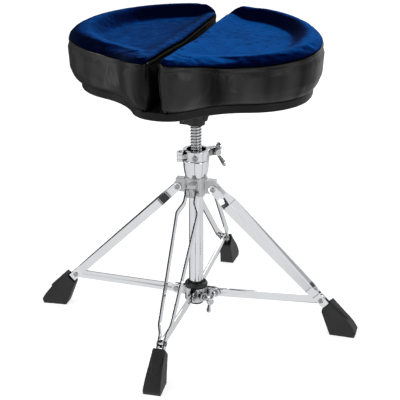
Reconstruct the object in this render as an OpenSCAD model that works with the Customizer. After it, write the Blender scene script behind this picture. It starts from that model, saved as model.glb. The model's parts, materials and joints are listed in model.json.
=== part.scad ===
// Folding drum throne: split saddle seat, threaded height rod, four double-strap legs.
// Frame: origin on the floor under the column axis, +Z up, seat nose and front leg towards -Y.
// The solids stand as they do in use: legs spread, memory lock resting on the column cup.

/* [Seat] */
// Height of the underside of the seat base
seat_z = 477; // [474:0.5:520]
// Radius of the round rear of the seat base
seat_r = 220.5; // [216:0.5:225]
// Radius of the side lobes in front of the round rear
lobe_r = 119; // [112:1:124]
// Radius of the thigh scoops beside the nose
scoop_r = 158; // [150:1:166]
// Radius of the nose corners
nose_r = 60; // [57:1:63]
// How far the nose reaches forward of the column axis
nose_reach = 216; // [212:1:220]
// Width of the straight gap between the two cushions
gap_w = 20; // [14:1:26]
// How far the gap is turned about its front end, in degrees
gap_turn = 1.8; // [0:0.1:3]
// How far the cushions overhang the base
overhang = 16; // [8:1:18]
// Height of the middle of the dished top above the base
cushion_h = 76; // [70:1:90]
// Radius of the dish in the top of the seat
dish_r = 1500; // [1200:50:2400]
// Which way the seat faces, in degrees from the front leg
seat_heading = -4.8; // [-180:0.1:180]

/* [Height rod] */
// Outside diameter of the threaded rod
rod_d = 22.2; // [22:0.1:22.4]
// Distance between two turns of the thread
rod_pitch = 6; // [5:0.5:7]
// Height of the lower end of the rod
rod_z0 = 168; // [160:1:180]
// Length of the threaded part of the rod
rod_thread_l = 234; // [228:6:240]

/* [Column] */
// Outside diameter of the column tube
tube_d = 28.6; // [28.6:0.1:29]
// Wall thickness of the column tube
tube_wall = 2; // [1.6:0.1:2.2]
// Height of the lower end of the column tube
tube_z0 = 37; // [34:1:39]
// Height of the column tube's top and of the hub's top face
hub_top = 303; // [302:0.5:304]
// Diameter of the cup's rim
cup_d = 50.7; // [49:0.1:52]
// Height of the cup on the hub
cup_h = 35; // [34:0.5:36]

/* [Legs] */
// Distance of the upper leg pivots from the column axis
pivot_r = 35.2; // [35:0.1:36]
// Height of the upper leg pivots
pivot_z = 280.5; // [279:0.5:282]
// Slope of the legs below horizontal, in degrees
leg_dip = 44.4; // [44:0.1:45]
// Distance from the upper pivot to the brace pivot along the leg
brace_at = 303.4; // [302:0.2:304]
// Width of each leg strap
strap_w = 16; // [14:0.5:17]
// Thickness of each leg strap
strap_t = 3; // [2.5:0.1:3]

/* [Brace bracket] */
// Distance of the inner brace pivots from the column axis
clevis_r = 40; // [39:0.5:41]
// Height of the inner brace pivots
clevis_z = 60; // [59:0.5:61]
// Height of each brace bar
brace_h = 17; // [15:0.5:17.5]
// Thickness of each brace bar
brace_t = 4; // [3:0.1:4]

/* [Hidden] */

$fn = 64;
eps = 0.5;
run_gap = 0.05;

// Compass angles of the four legs
FRONT = -90;
RIGHT = 0;
REAR = 90;
LEFT = 180;
AZIMUTHS = [FRONT, RIGHT, REAR, LEFT];

// Column
tube_r = tube_d / 2;
tube_bore_r = tube_r - tube_wall;
hub_r = 22;
hub_z0 = 272;
lug_w = 16.6;
lug_end_r = 10;
rivet_r = 3.5;
cup_r = cup_d / 2;
cup_foot_r = 21.2;
cup_top = hub_top + cup_h;
rod_r = rod_d / 2;
nut_r = 18;

// Memory lock, turned about the rod so that its hinge is front left and its ears rear right
lock_turn = 44;
lock_z0 = cup_top + 0.5;
lock_h = 19;
lock_r = 26;
lock_recess_r = 19;
lock_recess_h = 8;
lock_pin_x = -35;
lock_pin_r = 2.5;
lock_screw_x = 40;
lock_screw_r = 3;
lock_mid_z = lock_z0 + lock_h / 2;
knuckle_r = 6.5;
knuckle_low = lock_z0;
knuckle_a = lock_z0 + 5;
knuckle_b = lock_z0 + 14;
knuckle_high = lock_z0 + lock_h + 1;
key_turn = -34;
ear_face = 7;
washer_t = 1.6;
split_gap = 2.4;

// Brace bracket and its wing bolt
bracket_z0 = 42;
bracket_z1 = 70;
bracket_r = 22.5;
bush_sleeve_r = 17;
ear_t = 3.4;
ear_in = brace_t / 2 + 0.3;
ear_r = 9.5;
brace_pin_r = 3;
bolt_az = -45;
bolt_r = 4;
bolt_z = clevis_z - 4;

// Leg straps: half spacing at the hub, at the waist below it and at the foot
strap_hub_w = lug_w / 2 + strap_t / 2 + 0.15;
strap_wide_w = 20.2;
strap_foot_w = 5.8;
strap_end = 338;
boss_half = strap_foot_w - strap_t / 2 - 0.1;

// Boots
boot_top_u = 318;
boot_step_u = 352;
boot_panel_u = 367;
boot_panel_t = 3;
sole_r0 = 273;
sole_r1 = 323;

// Height rod's thread
thread_depth = 1.5;

// Seat
base_h = 15.5;
cushion_z = seat_z + base_h;
cover_t = 2;
dish_back = 30;
dip_r = 260;
dip_x = 135;
dip_front = 195;
dip_z = 557.5;
column_top = 640;
socket_z = 407;
flange_z0 = seat_z - 7;
flange_half = 52;
bolt_at = 38;

// ---------------------------------------------------------------- shared shapes

// Ring of outer radius ro and inner radius ri from z0 to z1
module ring(ro, ri, z0, z1) {
    translate([0, 0, z0])
    difference() {
        cylinder(r = ro, h = z1 - z0);
        translate([0, 0, -eps])
        cylinder(r = ri, h = z1 - z0 + 2 * eps);
    }
}

// Rod along Y, centred on the origin
module cross_rod(r, length) {
    rotate([90, 0, 0])
    cylinder(r = r, h = length, center = true);
}

// Rod along X from x0 to x1
module x_rod(r, x0, x1) {
    translate([x0, 0, 0])
    rotate([0, 90, 0])
    cylinder(r = r, h = x1 - x0);
}

// Box given by its lowest and highest corners
module box(low, high) {
    translate(low)
    cube(high - low);
}

// Places a leg's own frame: +X down along the leg, +Z out of its outer face
module leg_frame(azimuth) {
    rotate([0, 0, azimuth])
    translate([pivot_r, 0, pivot_z])
    rotate([0, leg_dip, 0])
    children();
}

// Place of the brace's outer pivot in the plane of the leg
outer_r = pivot_r + brace_at * cos(leg_dip);
outer_z = pivot_z - brace_at * sin(leg_dip);
brace_l = norm([outer_r - clevis_r, outer_z - clevis_z]);
brace_rise = atan2(outer_z - clevis_z, outer_r - clevis_r);

// Places a brace's own frame: +X from the clevis pivot out to the foot
module brace_frame(azimuth) {
    rotate([0, 0, azimuth])
    translate([clevis_r, 0, clevis_z])
    rotate([0, -brace_rise, 0])
    children();
}

// Leg-frame place (along, out) of a point at radius r and height z
function leg_point(r, z) = [
    (r - pivot_r) * cos(leg_dip) - (z - pivot_z) * sin(leg_dip),
    (r - pivot_r) * sin(leg_dip) + (z - pivot_z) * cos(leg_dip)];

// Points on an arc
function arc(centre, r, a0, a1, steps) = [
    for (i = [0 : steps])
    let (a = a0 + (a1 - a0) * i / steps)
    centre + r * [cos(a), sin(a)]];

// Points on a smooth bend from a to c that is pulled towards b
function bend(a, b, c, steps) = [
    for (i = [0 : steps])
    let (t = i / steps)
    (1 - t) * (1 - t) * a + 2 * t * (1 - t) * b + t * t * c];

function unit(v) = v / norm(v);
function left_of(v) = [-v[1], v[0]];

// Mitred offset of a path of points by d to its left
function side_path(path, d) = [
    for (i = [0 : len(path) - 1])
    let (
        before = unit(path[max(i, 1)] - path[max(i, 1) - 1]),
        after = unit(path[min(i + 1, len(path) - 1)] - path[min(i + 1, len(path) - 1) - 1]),
        n0 = left_of(before),
        n1 = left_of(after))
    path[i] + d * (n0 + n1) / (1 + n0 * n1)];

function reversed(list) = [for (i = [len(list) - 1 : -1 : 0]) list[i]];

// Wing handle: a collar with two wings across local X, on an axis along local Z
module wings(span, collar_r, collar_h, wing_h, tip_r) {
    wing_t = 3.2;
    cylinder(r = collar_r, h = collar_h);
    for (side = [0, 180])
    rotate([0, 0, side])
    translate([0, wing_t / 2, 0])
    rotate([90, 0, 0])
    linear_extrude(wing_t)
    wing_shape(span / 2, collar_r, collar_h, wing_h, tip_r);
}

// Outline of one wing, swept up and out from the collar and rounded at its tip
module wing_shape(reach, collar_r, collar_h, wing_h, tip_r) {
    tip = [reach - tip_r, wing_h - tip_r];
    translate(tip)
    circle(r = tip_r);
    polygon([
        [0, 0.5], [collar_r, 0.5],
        tip + tip_r * [cos(-48), sin(-48)],
        tip + tip_r * [cos(132), sin(132)],
        [collar_r - 1, collar_h], [0, collar_h]]);
}

// ---------------------------------------------------------------- column

module centre_tube() {
    color("gainsboro")
    ring(tube_r, tube_bore_r, tube_z0, hub_top);
}

module tube_end_cap() {
    color("dimgray") {
        translate([0, 0, tube_z0 - 3])
        cylinder(r = tube_r, h = 2.9);
        translate([0, 0, tube_z0 - 1])
        cylinder(r = tube_bore_r - run_gap, h = 14);
    }
}

// One arm of the hub: a plate that the leg straps straddle, round at its end and slotted there
module hub_lug() {
    thick = lug_w;
    slot_w = 5;
    difference() {
        union() {
            translate([0, -thick / 2, pivot_z - lug_end_r])
            cube([pivot_r, thick, 2 * lug_end_r]);
            translate([0, -thick / 2, pivot_z])
            cube([pivot_r + 4, thick, hub_top - 6 - pivot_z]);
            translate([pivot_r, 0, pivot_z])
            cross_rod(lug_end_r, thick);
        }
        translate([pivot_r, 0, pivot_z])
        cross_rod(rivet_r + 1.5, thick + 2 * eps);
        box([pivot_r + 5.5, -slot_w / 2, pivot_z - 20], [pivot_r + 15, slot_w / 2, hub_top - 9]);
    }
}

module hub_casting() {
    color("silver")
    difference() {
        union() {
            translate([0, 0, hub_z0])
            cylinder(r = hub_r, h = hub_top - hub_z0);
            translate([0, 0, hub_z0 - 8])
            cylinder(r = hub_r - 4, h = 10);
            for (azimuth = AZIMUTHS)
            rotate([0, 0, azimuth])
            hub_lug();
        }
        translate([0, 0, hub_z0 - 10])
        cylinder(r = tube_r + run_gap, h = 60);
        for (azimuth = [45, 225])
        rotate([0, 0, azimuth])
        translate([0, 0, pivot_z + 4])
        x_rod(3 + run_gap, 5, hub_r + 5);
    }
}

// Socket set screws that hold the hub on the tube
module hub_set_screws() {
    color("gray")
    for (azimuth = [45, 225])
    rotate([0, 0, azimuth])
    translate([0, 0, pivot_z + 4])
    difference() {
        x_rod(3, tube_r + run_gap, hub_r);
        translate([hub_r - 3, 0, 0])
        rotate([0, 90, 0])
        cylinder(r = 1.6, h = 4, $fn = 6);
    }
}

// Steel bushes in the hub lugs, flush with the lugs' faces
module hub_pivot_bushes() {
    color("gray")
    for (azimuth = AZIMUTHS)
    rotate([0, 0, azimuth])
    translate([pivot_r, 0, pivot_z])
    cross_rod(rivet_r + 1.5 - run_gap, lug_w);
}

module spindle_nut() {
    color("darkgray")
    ring(nut_r, rod_r + run_gap, hub_top + 0.1, hub_top + 28);
}

// Tapered chrome cup over the spindle nut, with a closed rim at its top
module height_cup() {
    wall = 2;
    color("gainsboro")
    rotate_extrude()
    polygon([
        [nut_r + 0.2, hub_top + 0.1],
        [cup_foot_r, hub_top + 0.1],
        [cup_r, hub_top + 8 + 20],
        [cup_r, cup_top - 1],
        [cup_r - 1, cup_top],
        [rod_r + 1, cup_top],
        [rod_r + 1, cup_top - 3],
        [nut_r + wall, cup_top - 3],
        [nut_r + 0.2, cup_top - 6]]);
}

// ---------------------------------------------------------------- memory lock

module lock_frame() {
    rotate([0, 0, lock_turn])
    children();
}

// Half of the clamp collar's outline on the side given by sign, rod bore left out
module lock_half(sign) {
    intersection() {
        difference() {
            union() {
                translate([0, 0, lock_z0])
                cylinder(r = lock_r, h = lock_h);
                box([lock_r - 6, -ear_face, lock_z0 + 2],
                    [lock_screw_x + 5, ear_face, lock_z0 + lock_h - 2]);
            }
            translate([0, 0, lock_z0 - eps])
            cylinder(r = rod_r + 0.4, h = lock_h + 2 * eps);
            translate([0, 0, lock_z0 + lock_h - lock_recess_h])
            cylinder(r = lock_recess_r, h = lock_recess_h + 1);
        }
        translate([-60, sign > 0 ? split_gap / 2 : -60, lock_z0 - 1])
        cube([120, 60 - split_gap / 2, lock_h + 2]);
    }
}

// Knuckle of the hinge between heights z0 and z1, joined to the collar on the side of sign
module lock_knuckle(sign, z0, z1) {
    translate([lock_pin_x, 0, z0])
    cylinder(r = knuckle_r, h = z1 - z0);
    inner = split_gap / 2;
    box([lock_pin_x, sign > 0 ? inner : -knuckle_r, z0], [-18, sign > 0 ? knuckle_r : -inner, z1]);
}

module lock_pin_hole() {
    translate([lock_pin_x, 0, lock_z0 - 12])
    cylinder(r = lock_pin_r + run_gap, h = lock_h + 24);
}

// Clears the space that the other half's knuckle turns in, between z0 and z1
module knuckle_room(z0, z1) {
    translate([lock_pin_x, 0, z0])
    cylinder(r = knuckle_r + 0.7, h = z1 - z0);
}

module lock_body() {
    color("gainsboro")
    lock_frame()
    difference() {
        union() {
            difference() {
                lock_half(1);
                knuckle_room(knuckle_a - 0.1, knuckle_b + 0.1);
            }
            lock_knuckle(1, knuckle_low, knuckle_a - 0.1);
            lock_knuckle(1, knuckle_b + 0.1, knuckle_high);
        }
        lock_pin_hole();
        translate([lock_screw_x, 0, lock_mid_z])
        cross_rod(lock_screw_r + run_gap, 40);
        translate([0, 0, lock_z0])
        cylinder(r = rod_r + 0.4, h = lock_h);
    }
}

module lock_hinge_pin() {
    color("gray")
    lock_frame()
    translate([lock_pin_x, 0, knuckle_low])
    cylinder(r = lock_pin_r, h = knuckle_high - knuckle_low + 1.5);
}

module lock_jaw() {
    color("gainsboro")
    lock_frame()
    difference() {
        union() {
            difference() {
                lock_half(-1);
                knuckle_room(lock_z0 - 1, knuckle_a);
                knuckle_room(knuckle_b, knuckle_high + 1);
            }
            lock_knuckle(-1, knuckle_a, knuckle_b);
        }
        lock_pin_hole();
        translate([lock_screw_x, 0, lock_mid_z])
        cross_rod(lock_screw_r + 1.6, 40);
        rotate([0, 0, key_turn])
        translate([0, -lock_r - 4, lock_mid_z - 2])
        cross_rod(2.5 + run_gap, 2 * lock_r);
        translate([0, 0, lock_z0])
        cylinder(r = rod_r + 0.4, h = lock_h);
    }
}

// Small key screw in the front of the jaw
module lock_key_screw() {
    head_y = -lock_r - 0.05;
    color("gray")
    lock_frame()
    rotate([0, 0, key_turn])
    translate([0, 0, lock_mid_z - 2]) {
        translate([0, head_y - 4, 0])
        rotate([-90, 0, 0])
        difference() {
            cylinder(r = 4.6, h = 4);
            translate([0, 0, -0.1])
            cylinder(r = 2, h = 2.2, $fn = 6);
        }
        translate([0, head_y, 0])
        rotate([-90, 0, 0])
        cylinder(r = 2.5, h = 11);
    }
}

module lock_washer() {
    color("silver")
    lock_frame()
    translate([lock_screw_x, -ear_face - 0.05, lock_mid_z])
    rotate([90, 0, 0])
    ring(6, lock_screw_r + run_gap, 0, washer_t);
}

// Wing screw: threads into the fixed half, its collar bears on the washer
module lock_wing_screw() {
    color("gainsboro")
    lock_frame()
    translate([lock_screw_x, -ear_face - 0.1 - washer_t, lock_mid_z])
    rotate([90, 0, 0])
    rotate([0, 0, 105]) {
        wings(52, 6.5, 9, 26.5, 7.5);
        translate([0, 0, -ear_face * 2 - washer_t - 2])
        cylinder(r = lock_screw_r, h = ear_face * 2 + washer_t + 4);
    }
}

// ---------------------------------------------------------------- brace bracket

// Two ears that hold a brace's inner end, on one boss
module clevis() {
    for (side = [-1, 1])
    translate([0, side * (ear_in + ear_t / 2), 0]) {
        translate([clevis_r, 0, clevis_z])
        cross_rod(ear_r, ear_t);
        box([18, -ear_t / 2, clevis_z - ear_r], [clevis_r, ear_t / 2, clevis_z + ear_r]);
    }
}

module bracket_casting() {
    color("silver")
    difference() {
        union() {
            translate([0, 0, bracket_z0])
            cylinder(r = bracket_r, h = bracket_z1 - bracket_z0);
            for (azimuth = AZIMUTHS)
            rotate([0, 0, azimuth])
            clevis();
            rotate([0, 0, bolt_az])
            translate([0, 0, bolt_z])
            x_rod(8, 16, 31);
        }
        translate([0, 0, bracket_z0 - eps])
        cylinder(r = bush_sleeve_r + run_gap, h = bracket_z1 - bracket_z0 + 2 * eps);
        for (azimuth = AZIMUTHS)
        rotate([0, 0, azimuth]) {
            translate([clevis_r, 0, clevis_z])
            cross_rod(brace_pin_r + run_gap, 30);
            box([30, -ear_in, 0], [60, ear_in, 100]);
        }
        rotate([0, 0, bolt_az])
        translate([0, 0, bolt_z])
        x_rod(bolt_r + run_gap, 10, 40);
    }
}

// Plastic bush between bracket and tube, with a wide flange on top
module bracket_bush() {
    flange_z1 = bracket_z1 + 9;
    color("dimgray")
    difference() {
        rotate_extrude()
        polygon([
            [tube_r + run_gap, bracket_z0 + 1],
            [bush_sleeve_r, bracket_z0 + 1],
            [bush_sleeve_r, bracket_z1 + 0.1],
            [23, bracket_z1 + 0.1],
            [23, flange_z1 - 3],
            [20.5, flange_z1],
            [17, flange_z1],
            [tube_r + run_gap, flange_z1 - 5]]);
        rotate([0, 0, bolt_az])
        translate([0, 0, bolt_z])
        x_rod(bolt_r + run_gap, 10, 40);
    }
}

// Rivets through the clevis ears and the braces' inner ends
module brace_inner_pins() {
    half = ear_in + ear_t;
    color("silver")
    for (azimuth = AZIMUTHS)
    rotate([0, 0, azimuth])
    translate([clevis_r, 0, clevis_z]) {
        cross_rod(brace_pin_r, 2 * half + 0.2);
        for (side = [-1, 1])
        translate([0, side * (half + 0.1 + 0.9), 0])
        cross_rod(4.6, 1.8);
    }
}

// Brass shoe that the wing bolt presses on the tube, hollow on its inner face
module bracket_shoe() {
    color("goldenrod")
    rotate([0, 0, bolt_az])
    translate([0, 0, bolt_z])
    difference() {
        x_rod(bolt_r, tube_r - 2, tube_r + 2.4);
        translate([0, 0, -20])
        cylinder(r = tube_r + 0.05, h = 40);
    }
}

module bracket_wing_bolt() {
    color("gainsboro")
    rotate([0, 0, bolt_az])
    translate([0, 0, bolt_z]) {
        x_rod(bolt_r, tube_r + 2.5, 52);
        translate([50, 0, 0])
        rotate([0, 90, 0])
        rotate([0, 0, -18])
        wings(44, 6.5, 8, 13, 6);
    }
}

// ---------------------------------------------------------------- braces and legs

// Flat bar with round ends; its outer end has a boss that fills the gap between the straps
module brace(azimuth) {
    color("gainsboro")
    brace_frame(azimuth)
    difference() {
        union() {
            box([0, -brace_t / 2, -brace_h / 2], [brace_l, brace_t / 2, brace_h / 2]);
            for (x = [0, brace_l])
            translate([x, 0, 0])
            cross_rod(brace_h / 2, brace_t);
            translate([brace_l, 0, 0])
            cross_rod(6, 2 * boss_half);
        }
        for (x = [0, brace_l])
        translate([x, 0, 0])
        cross_rod(brace_pin_r + run_gap, 30);
    }
}

// One leg strap on the side given by sign, kinked below the hub and above the foot
module strap(azimuth, sign) {
    centre = [
        [-10, strap_hub_w], [24, strap_hub_w], [45, strap_wide_w],
        [271, 11.2], [288, strap_foot_w], [strap_end, strap_foot_w]];
    line = [for (p = centre) [p[0], sign * p[1]]];
    color("gainsboro")
    leg_frame(azimuth)
    difference() {
        intersection() {
            translate([0, 0, -strap_w / 2])
            linear_extrude(strap_w)
            polygon(concat(side_path(line, strap_t / 2), reversed(side_path(line, -strap_t / 2))));
            union() {
                cross_rod(strap_w / 2, 60);
                box([0, -30, -strap_w / 2], [strap_end, 30, strap_w / 2]);
            }
        }
        cross_rod(rivet_r + run_gap, 60);
        translate([brace_at, 0, 0])
        cross_rod(brace_pin_r + run_gap, 60);
    }
}

// Domed rivet head with a hexagon socket, seat at the origin, pointing to +Y
module rivet_head(r, h) {
    rotate([-90, 0, 0])
    difference() {
        rotate_extrude()
        polygon(concat([[0, 0], [r, 0]], bend([r, 0.4 * h], [r, h], [0.45 * r, h], 4), [[0, h]]));
        translate([0, 0, 0.4 * h])
        cylinder(r = 0.42 * r, h = h, $fn = 6);
    }
}

// Rivet through both straps and the brace at the foot
module foot_rivet(azimuth) {
    face = strap_foot_w + strap_t / 2 + 0.05;
    color("gray")
    leg_frame(azimuth)
    translate([brace_at, 0, 0]) {
        cross_rod(brace_pin_r, 2 * face + 0.2);
        translate([0, face, 0])
        rivet_head(5, 2.2);
        mirror([0, 1, 0])
        translate([0, face, 0])
        rivet_head(5, 2.2);
    }
}

// Headed studs of the upper pivot, one in each strap
module hub_rivets(azimuth) {
    inner = strap_hub_w - strap_t / 2;
    outer = strap_hub_w + strap_t / 2 + 0.05;
    color("gray")
    leg_frame(azimuth)
    for (side = [0, 1])
    mirror([0, side, 0]) {
        translate([0, (inner + outer) / 2, 0])
        cross_rod(rivet_r, outer - inner);
        translate([0, outer, 0])
        rivet_head(5.4, 2.4);
    }
}

// Rubber boot: a sleeve in the leg's direction that flares into a flat-soled shoe
module boot(azimuth) {
    top_out = 13.5;
    top_in = -14;
    sole_in = leg_point(sole_r0, 0);
    sole_out = leg_point(sole_r1 - 2, 0);
    toe = leg_point(sole_r1 + 1, 8);
    heel = leg_point(sole_r0 - 4, 9);
    shoe = concat(
        [[boot_top_u + 3, top_in], [boot_top_u, top_in + 3], [boot_top_u, top_out - 2]],
        [[boot_top_u + 2, top_out - 1.5], [boot_step_u + 2, top_out]],
        bend([boot_step_u + 2, top_out], [boot_step_u + 28, top_out + 1], toe, 10),
        [sole_out, sole_in, heel]);
    color("dimgray")
    leg_frame(azimuth)
    difference() {
        union() {
            intersection() {
                rotate([90, 0, 0])
                linear_extrude(36, center = true)
                polygon(shoe);
                translate([0, 0, -60])
                linear_extrude(120)
                polygon([
                    [boot_top_u, -12], [boot_step_u, -13.5], [410, -17.5],
                    [410, 17.5], [boot_step_u, 13.5], [boot_top_u, 12]]);
            }
            translate([0, 0, top_out - 6])
            linear_extrude(6 + boot_panel_t) {
                polygon([
                    [boot_top_u, -10.5], [boot_panel_u - 7, -7],
                    [boot_panel_u - 7, 7], [boot_top_u, 10.5]]);
                translate([boot_panel_u - 7, 0])
                circle(r = 7);
            }
        }
        box([boot_top_u - 1, -9.6, -10.5], [boot_top_u + 5, 9.6, 9.5]);
        for (side = [-1, 1])
        translate([0, side * strap_foot_w, 0])
        box([boot_top_u - 1, -strap_t / 2 - run_gap, -strap_w / 2 - run_gap],
            [strap_end + 0.1, strap_t / 2 + run_gap, strap_w / 2 + run_gap]);
    }
}

// ---------------------------------------------------------------- height rod

// Profile of the grooved part of the rod, from its lower end to its upper end
function thread_profile(z0, turns) = [
    for (i = [0 : turns - 1])
    for (p = [[rod_r - thread_depth, 0.6], [rod_r - 0.3, 2.2], [rod_r, 2.7],
        [rod_r, 4.1], [rod_r - 0.3, 4.6], [rod_r - thread_depth, 6.0]])
    [p[0], z0 + (i + p[1] / 6.6) * rod_pitch]];

module threaded_rod() {
    journal_r = 8;
    journal_l = 16;
    thread_z0 = rod_z0 + journal_l;
    turns = floor(rod_thread_l / rod_pitch);
    shank_z = thread_z0 + turns * rod_pitch;
    color("silver")
    difference() {
        union() {
            translate([0, 0, rod_z0])
            cylinder(r = journal_r, h = journal_l + 1);
            rotate_extrude()
            polygon(concat(
                [[0, thread_z0]],
                [[rod_r - thread_depth, thread_z0]],
                thread_profile(thread_z0, turns),
                [[rod_r - thread_depth, shank_z], [0, shank_z]]));
            translate([0, 0, shank_z - 1])
            cylinder(r = rod_r, h = seat_z - 14 - shank_z);
        }
        translate([0, 0, rod_z0 - 1])
        cylinder(r = 3 + run_gap, h = 15);
    }
}

// Nylon bush that steadies the rod's lower end inside the tube
module rod_guide_bush() {
    color("white")
    ring(tube_bore_r - run_gap, 8 + run_gap, rod_z0 + 0.1, rod_z0 + 15.8);
}

// Screw with a wide head that keeps the guide bush on the rod
module rod_end_screw() {
    color("gray")
    difference() {
        union() {
            translate([0, 0, rod_z0 - 4.1])
            cylinder(r = 10.5, h = 4);
            translate([0, 0, rod_z0 - 1])
            cylinder(r = 3, h = 14);
        }
        translate([0, 0, rod_z0 - 5])
        cylinder(r = 2.5, h = 3, $fn = 6);
    }
}

// ---------------------------------------------------------------- seat

// Centres and tangent angles of the seat outline's arcs, in (sideways, forward) places
rear_c = [0, 3.3];
lobe_a = 1;
lobe_c = rear_c + (seat_r - lobe_r) * [cos(lobe_a), sin(lobe_a)];
nose_c = [2.4, nose_reach - nose_r];
span_v = lobe_c - nose_c;
span_l = norm(span_v);
to_nose = nose_r + scoop_r;
to_lobe = lobe_r + scoop_r;
along = (to_nose * to_nose - to_lobe * to_lobe + span_l * span_l) / (2 * span_l);
aside = sqrt(to_nose * to_nose - along * along);
scoop_c = nose_c + along * unit(span_v) + aside * left_of(unit(span_v));
lobe_end = atan2(scoop_c[1] - lobe_c[1], scoop_c[0] - lobe_c[0]);
nose_start = atan2(scoop_c[1] - nose_c[1], scoop_c[0] - nose_c[0]);

// Right half of the seat outline, grown outwards by g
function half_outline(g) = concat(
    arc(rear_c, seat_r + g, -90, lobe_a, 18),
    arc(lobe_c, lobe_r + g, lobe_a + 8, lobe_end, 8),
    arc(scoop_c, scoop_r - g, lobe_end + 180 - 5, nose_start + 180 + 5, 8),
    arc(nose_c, nose_r + g, nose_start, 90, 7));

module full_plan(g) {
    right = half_outline(g);
    left = reversed([for (p = right) [-p[0], p[1]]]);
    polygon([for (p = concat(right, left)) [p[0], -p[1]]]);
}

// Flat seat shape on the right (side 1) or left (side -1) of the gap, from inner outwards
module half_plan(g, side, inner) {
    reach = 500;
    intersection() {
        full_plan(g);
        translate([0, -nose_reach - overhang])
        rotate([0, 0, gap_turn])
        translate([side > 0 ? inner : -inner - reach, -reach])
        square([reach, 3 * reach]);
    }
}

// Balls whose lower sides are the dished top and the two thigh dips, lowered by drop
module dish(drop) {
    translate([0, -dish_back, cushion_z + cushion_h + dish_r - drop])
    sphere(r = dish_r, $fn = 400);
    for (x = [-dip_x, dip_x])
    translate([x, -dip_front, dip_z + dip_r - drop])
    sphere(r = dip_r, $fn = 200);
}

// Turns the seat's parts to the way the seat faces
module seat_frame() {
    rotate([0, 0, seat_heading])
    children();
}

module bolt_places() {
    for (x = [-bolt_at, bolt_at])
    for (y = [-bolt_at, bolt_at])
    translate([x, y, 0])
    children();
}

module seat_board() {
    color("burlywood")
    seat_frame()
    difference() {
        translate([0, 0, seat_z + 1.5])
        linear_extrude(base_h - 1.5)
        full_plan(-1.6);
        bolt_places() {
            translate([0, 0, seat_z])
            cylinder(r = 4.6 + run_gap, h = 30);
            translate([0, 0, seat_z + base_h - 1.5])
            cylinder(r = 9.1, h = 10);
        }
    }
}

// Vinyl skin under the board and around its edge
module base_wrap() {
    color("dimgray")
    seat_frame()
    difference() {
        translate([0, 0, seat_z])
        linear_extrude(base_h)
        full_plan(0);
        translate([0, 0, seat_z + 1.4])
        linear_extrude(base_h)
        full_plan(-1.5);
        bolt_places()
        translate([0, 0, seat_z - 1])
        cylinder(r = 4.6 + run_gap, h = 5);
    }
}

module t_nuts() {
    color("silver")
    seat_frame()
    bolt_places()
    difference() {
        union() {
            translate([0, 0, seat_z + 2])
            cylinder(r = 4.6, h = base_h - 3);
            translate([0, 0, seat_z + base_h - 1.4])
            cylinder(r = 9, h = 1.2);
        }
        translate([0, 0, seat_z])
        cylinder(r = 3 + run_gap, h = 30);
    }
}

module seat_bolts() {
    color("silver")
    seat_frame()
    bolt_places() {
        translate([0, 0, flange_z0 - 4.1])
        cylinder(r = 5.8, h = 4, $fn = 6);
        translate([0, 0, flange_z0 - 1])
        cylinder(r = 3, h = 17);
    }
}

// Rib plate under the flange from the neck outwards, deep at the neck
module bracket_rib(reach) {
    rotate([90, 0, 0])
    linear_extrude(7, center = true)
    polygon([
        [8, socket_z + 8], [22, socket_z + 8], [24, socket_z + 16],
        [reach, flange_z0 - 6], [reach, flange_z0 + 1], [8, flange_z0 + 1]]);
}

// Cast socket that joins the seat to the rod: square flange, ribbed neck, split clamp
module seat_bracket() {
    color("dimgray")
    seat_frame()
    difference() {
        union() {
            box([-flange_half, -flange_half, flange_z0],
                [flange_half, flange_half, seat_z - 0.1]);
            translate([0, 0, socket_z])
            cylinder(r = 17.5, h = flange_z0 - socket_z + 1);
            for (a = [0 : 90 : 270])
            rotate([0, 0, a])
            bracket_rib(50);
            box([-30, -11, socket_z], [-6, 11, socket_z + 30]);
        }
        translate([0, 0, socket_z - 1])
        cylinder(r = rod_r + run_gap, h = seat_z - 14 - socket_z + 1.1);
        box([-40, -1.5, socket_z - 1], [-5, 1.5, socket_z + 36]);
        translate([-23, 0, socket_z + 15])
        cross_rod(4 + run_gap, 60);
        bolt_places()
        translate([0, 0, flange_z0 - 1])
        cylinder(r = 3.3, h = 20);
        for (corner = [45 : 90 : 315])
        rotate([0, 0, corner])
        translate([64, -40, flange_z0 - 1])
        cube([40, 80, 20]);
    }
}

// Bolt with a square key head and a nut across the socket's clamp ears
module seat_clamp_bolt() {
    color("silver")
    seat_frame()
    translate([-23, 0, socket_z + 15]) {
        cross_rod(4, 30);
        translate([0, -11.1, 0])
        rotate([90, 0, 0])
        cylinder(r = 7, h = 5, $fn = 6);
        translate([0, 16, 0])
        rotate([90, 0, 0])
        cylinder(r = 7, h = 4.9, $fn = 6);
    }
}

// Solid under the dished top: one half of the cushion shape grown by g, from z0 up
module cushion_solid(g, side, inner, z0, drop) {
    difference() {
        translate([0, 0, z0])
        linear_extrude(column_top - z0)
        half_plan(overhang + g, side, inner);
        dish(drop);
    }
}

module foam(side) {
    color("khaki")
    seat_frame()
    cushion_solid(-cover_t - 0.1, side, gap_w / 2 + cover_t + 0.1, cushion_z + 0.1, 3.2);
}

// Vinyl wall around one cushion, gap side included
module side_wall(side) {
    color("dimgray")
    seat_frame()
    difference() {
        cushion_solid(0, side, gap_w / 2, cushion_z + 0.1, 3.1);
        translate([0, 0, cushion_z - 1])
        linear_extrude(200)
        half_plan(overhang - cover_t, side, gap_w / 2 + cover_t);
    }
}

// Velour panel over the dished top of one cushion
module velour_top(side) {
    color("royalblue")
    seat_frame()
    intersection() {
        cushion_solid(0, side, gap_w / 2, cushion_z + 50, 0);
        dish(3);
    }
}

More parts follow.
